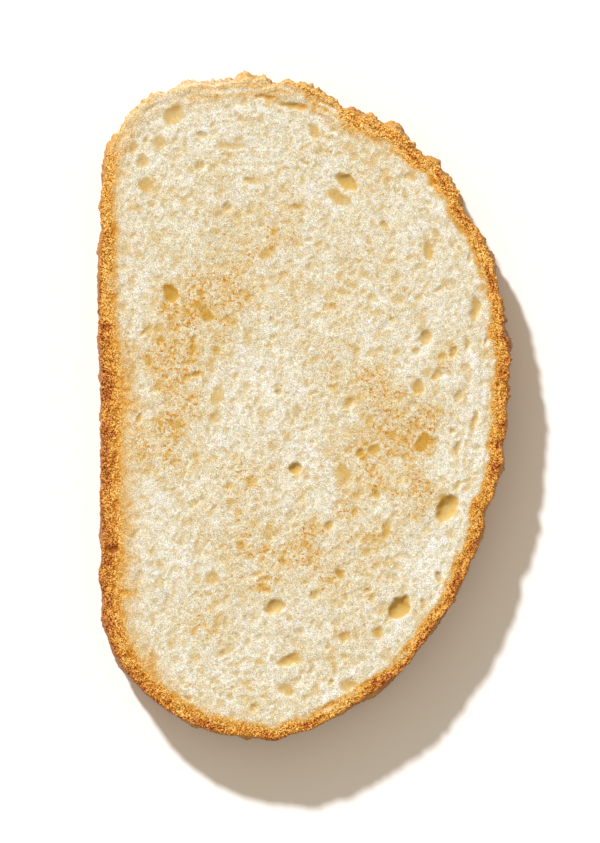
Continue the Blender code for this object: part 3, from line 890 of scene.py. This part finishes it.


# The crumb's colours by tone, from the palest to the painted shade in the insides of pores, and the crust's
# by how brown it is
CRUMB_STOPS = (
    (0.15, (0.745, 0.745, 0.725)), (0.24, (0.695, 0.68, 0.615)), (0.33, (0.645, 0.61, 0.495)),
    (0.5, (0.62, 0.535, 0.36)), (0.65, (0.61, 0.487, 0.265)), (0.8, (0.60, 0.437, 0.19)),
    (1.0, (0.56, 0.375, 0.10)), (1.2, (0.51, 0.315, 0.06)),
)
DEEPEST_TONE = CRUMB_STOPS[-1][0]
CRUST_STOPS = (
    (0.0, (0.66, 0.61, 0.48)), (0.25, (0.60, 0.46, 0.24)), (0.5, (0.59, 0.315, 0.06)),
    (0.75, (0.50, 0.212, 0.018)), (1.0, (0.31, 0.082, 0.003)),
)
CRUST_FROM = (0.03, 0.35)  # how brown the bread is where crumb begins to give way to crust, and has
# The steep side's colour: partly the crust's own brown, partly painted shade that darkens the side so that
# where it faces the light it does not glow
SIDE_BROWN_AND_SHADE = (0.33, 0.165, 0.055)
SIDE_SHARE = 0.55  # of that colour, the crust's own brown with painted shade, in what the side shows

# The crumb's tone, and how much each thing adds to it, with the sizes of noise in mm
PALE_TONE = 0.235
TOAST_TONE = 0.25
CLOUD_SIZE, CLOUD_TONE = 6.0, 0.2
SOFT_SIZE, SOFT_TONE = 1.8, 0.3
FLECK_SIZE, FLECK_TONE = 0.9, 0.06
TOAST_UNEVEN = 1.6  # how much more uneven it is where it is toasted
# how much the painted shade of pores and hollows adds to the tone, and how much more where it is toasted
PORE_TONE = 0.52
TOAST_PORE_TONE = 0.3

# Small toasted strokes
STROKE_SIZE, STROKE_DETAIL, STROKE_ROUGHNESS = 0.8, 3.0, 0.6
STROKE_EDGE = (0.68, 0.77)
STROKE_TOAST = 0.15
STROKE_COLOUR = (0.56, 0.27, 0.03)

# How the crust's brown varies
SMALL_SIZE, SMALL_BROWN = 0.55, 0.4
SOFT_BROWN = 0.25
BROWN_VARIES = (0.0, 0.5)  # how brown it is where that begins, and is in full
PORE_SHADE_BROWN = 0.3  # how much browner the painted shade makes pores in it

# Grain, which adds the same to every channel as a picture stores it
PICTURE_GAMMA = 2.2
DARKEST = (0.02, 0.02, 0.02)  # no channel goes past these
BRIGHTEST = (0.97, 0.97, 0.97)
FINE_GRANULE = 0.15  # mm
COARSE_GRANULE = 0.21
COARSE_FROM = (0.2, 0.6)  # how brown the bread is where they begin to be coarse, and are
CRUMB_CONTRAST = 0.3
CRUST_CONTRAST = 0.33  # on top of the crumb's
CALM_SHARE = 0.7  # how much less grain the pores and the side have

# The surface
ROUGHNESS = 0.75
BROWN_GLOSS = -0.3  # added to the roughness where it is brown
SPECULAR = 0.2
SCATTER_TO = 0.8  # how brown the bread is where light no longer scatters under the surface
SCATTER_WEIGHT = 1.05
SCATTER_RADIUS = (1.0, 0.75, 0.45)
SCATTER_MM = 2.0
BUMP_SIZE = 0.4
BUMP_SMALL = 0.6
BUMP_STRENGTH = 0.5
BUMP_MM = 0.12


def bread_material():
    material = bpy.data.materials.new("toasted_bread")
    material.use_nodes = True
    nodes = Nodes(material)
    shader = material.node_tree.nodes["Principled BSDF"]
    hollow_shade, browning_and_rim_shade, toasted, side = (nodes.attribute(name) for name in ("hollow_shade", "browning_and_rim_shade", "toasted", "side"))
    small = nodes.noise(SMALL_SIZE)
    soft = nodes.noise(SOFT_SIZE)
    crumb = crumb_colour(nodes, hollow_shade, toasted, soft)

    varied = nodes.math("ADD", nodes.around_zero(small, SMALL_BROWN), nodes.around_zero(soft, SOFT_BROWN))
    varied = nodes.math("MULTIPLY", varied, nodes.ramp(browning_and_rim_shade, *BROWN_VARIES))
    # painted shade makes pores in the crust browner
    level = nodes.linear(hollow_shade, PORE_SHADE_BROWN, browning_and_rim_shade)
    level = nodes.math("SUBTRACT", level, varied, clamp=True)
    colour = nodes.mix(nodes.ramp(browning_and_rim_shade, *CRUST_FROM), crumb, nodes.colours(level, CRUST_STOPS))
    # painted shade, together with the crust's own brown, mixed in on the steep side
    colour = nodes.mix(nodes.math("MULTIPLY", side, SIDE_SHARE), colour, SIDE_BROWN_AND_SHADE)
    nodes.put(shader.inputs["Base Color"], grained(nodes, colour, hollow_shade, browning_and_rim_shade, side))

    nodes.put(shader.inputs["Roughness"], nodes.linear(browning_and_rim_shade, BROWN_GLOSS, ROUGHNESS))
    shader.inputs["Specular IOR Level"].default_value = SPECULAR
    scatter = nodes.math("SUBTRACT", SCATTER_TO, browning_and_rim_shade, clamp=True)
    nodes.put(shader.inputs["Subsurface Weight"], nodes.math("MULTIPLY", scatter, SCATTER_WEIGHT))
    shader.inputs["Subsurface Radius"].default_value = SCATTER_RADIUS
    shader.inputs["Subsurface Scale"].default_value = SCATTER_MM * MM
    lumps = nodes.linear(small, BUMP_SMALL, nodes.noise(BUMP_SIZE, detail=1.0))
    bump = nodes.add("ShaderNodeBump", {"Height": lumps, "Strength": BUMP_STRENGTH, "Distance": BUMP_MM * MM})
    nodes.put(shader.inputs["Normal"], bump.outputs["Normal"])
    return material


def crumb_colour(nodes, hollow_shade, toasted, soft):
    """The crumb's colour: cream, with painted tan shade in its pores, and golden with small strokes where it
    is toasted.
    """
    tone = nodes.linear(toasted, TOAST_TONE, PALE_TONE)
    tone = nodes.math("ADD", tone, nodes.around_zero(nodes.noise(CLOUD_SIZE), CLOUD_TONE))
    flecks = nodes.around_zero(nodes.noise(FLECK_SIZE, detail=1.0), FLECK_TONE)
    uneven = nodes.math("ADD", nodes.around_zero(soft, SOFT_TONE), flecks)
    uneven = nodes.math("MULTIPLY", uneven, nodes.linear(toasted, TOAST_UNEVEN, 1.0))
    # painted shade in the hollows, stronger where toasted
    hollow_shade_tone = nodes.math("MULTIPLY", hollow_shade, nodes.linear(toasted, TOAST_PORE_TONE, PORE_TONE))
    tone = nodes.math("ADD", tone, nodes.math("ADD", uneven, hollow_shade_tone))
    tone = nodes.math("DIVIDE", tone, DEEPEST_TONE, clamp=True)
    crumb = nodes.colours(tone, [(place / DEEPEST_TONE, colour) for place, colour in CRUMB_STOPS])
    strokes = nodes.noise(STROKE_SIZE, STROKE_DETAIL, STROKE_ROUGHNESS)
    strokes = nodes.linear(toasted, STROKE_TOAST, strokes)
    return nodes.mix(nodes.ramp(strokes, *STROKE_EDGE), crumb, STROKE_COLOUR)


def grained(nodes, colour, hollow_shade, browning_and_rim_shade, side):
    """The colour with grain, which is coarser and stronger on the crust and calm in pores and on the side."""
    coarse_share = nodes.ramp(browning_and_rim_shade, *COARSE_FROM)
    calm = nodes.math("MULTIPLY", nodes.math("MAXIMUM", hollow_shade, side), CALM_SHARE)
    calm = nodes.math("SUBTRACT", 1.0, calm, clamp=True)
    fine = nodes.granules(FINE_GRANULE)
    coarse = nodes.granules(COARSE_GRANULE)
    grain = nodes.math("MULTIPLY", coarse_share, nodes.math("SUBTRACT", coarse, fine))
    grain = nodes.math("SUBTRACT", nodes.math("ADD", fine, grain), 0.5)
    grain = nodes.math("MULTIPLY", grain, calm)
    grain = nodes.math("MULTIPLY", grain, nodes.linear(coarse_share, CRUST_CONTRAST, CRUMB_CONTRAST))
    colour = nodes.add("ShaderNodeGamma", {"Color": colour, "Gamma": 1.0 / PICTURE_GAMMA}).outputs["Color"]
    for operation, other in (("ADD", grain), ("MAXIMUM", DARKEST), ("MINIMUM", BRIGHTEST)):
        step = nodes.add("ShaderNodeVectorMath", {0: colour, 1: other}, operation=operation)
        colour = step.outputs["Vector"]
    return nodes.add("ShaderNodeGamma", {"Color": colour, "Gamma": PICTURE_GAMMA}).outputs["Color"]


def new_object(name, data):
    made = bpy.data.objects.new(name, data)
    bpy.context.scene.collection.objects.link(made)
    return made


def make_toast():
    plan = Plan()
    points, quads, values = make_slice(plan)
    corners = bake_map(plan, points, quads, values["skin"])
    del values["skin"]
    mesh = build_mesh("toast_slice_crumb", points, quads, values, corners)
    mesh.materials.append(bread_material())
    toast = new_object("toast_slice_crumb", mesh)
    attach(toast, "root")
    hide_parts("toast_slice")
    print(f"{2 * len(quads)} triangles")


# The picture is 600 by 843 pixels, and the slice is 150 mm long in it
PICTURE_TALL = 843
MM_PER_PIXEL = 0.225
VIEW_MIDDLE = (-0.95, -3.5)
CAMERA_HEIGHT = 2200.0
SENSOR = 36.0


def make_camera():
    data = bpy.data.cameras.new("camera")
    data.sensor_width = SENSOR
    data.lens = SENSOR * (CAMERA_HEIGHT - THICKNESS) / (PICTURE_TALL * MM_PER_PIXEL)
    data.clip_end = 100.0
    camera = new_object("camera", data)
    camera.location = (VIEW_MIDDLE[0] * MM, VIEW_MIDDLE[1] * MM, CAMERA_HEIGHT * MM)
    bpy.context.scene.camera = camera


SUN_FROM = (-40.0, 72.0)  # the way from the slice to the light, seen from above
SUN_HEIGHT = 36.5
SUN_ANGLE = 4.0
SUN_STRENGTH = 4.1
SUN_COLOUR = (1.0, 0.985, 0.96)
SKY_LIGHT = (0.55, 0.47, 0.35)
BACKDROP = (1.0, 1.0, 1.0)


def make_lights():
    data = bpy.data.lights.new("sun", "SUN")
    data.energy = SUN_STRENGTH
    data.angle = math.radians(SUN_ANGLE)
    data.color = SUN_COLOUR
    sun = new_object("sun", data)
    level = Vector(SUN_FROM).normalized() * math.cos(math.radians(SUN_HEIGHT))
    towards = Vector((level.x, level.y, math.sin(math.radians(SUN_HEIGHT))))
    sun.rotation_euler = towards.to_track_quat("Z", "Y").to_euler()
    sun.location = towards

    world = bpy.data.worlds.new("studio")
    world.use_nodes = True
    bpy.context.scene.world = world
    tree = world.node_tree
    tree.nodes.clear()
    output, mix, path, light, seen = (
        tree.nodes.new("ShaderNode" + kind)
        for kind in ("OutputWorld", "MixShader", "LightPath", "Background", "Background")
    )
    light.inputs["Color"].default_value = (*SKY_LIGHT, 1.0)
    seen.inputs["Color"].default_value = (*BACKDROP, 1.0)
    tree.links.new(path.outputs["Is Camera Ray"], mix.inputs["Fac"])
    tree.links.new(light.outputs["Background"], mix.inputs[1])
    tree.links.new(seen.outputs["Background"], mix.inputs[2])
    tree.links.new(mix.outputs["Shader"], output.inputs["Surface"])


FLOOR_SIDE = 6.0
FLOOR_COLOUR = (0.92, 0.92, 0.96)
FLOOR_ROUGHNESS = 0.9
FLOOR_GAP = 0.02  # mm below the slice


def make_floor():
    bpy.ops.mesh.primitive_plane_add(size=FLOOR_SIDE, location=(0.0, 0.0, -FLOOR_GAP * MM))
    floor = bpy.context.object
    floor.name = "floor"
    material = bpy.data.materials.new("pale_floor")
    material.use_nodes = True
    shader = material.node_tree.nodes["Principled BSDF"]
    shader.inputs["Base Color"].default_value = (*FLOOR_COLOUR, 1.0)
    shader.inputs["Roughness"].default_value = FLOOR_ROUGHNESS
    shader.inputs["Specular IOR Level"].default_value = 0.0
    floor.data.materials.append(material)


make_toast()
make_camera()
make_lights()
make_floor()
bpy.context.scene.view_settings.view_transform = "Standard"
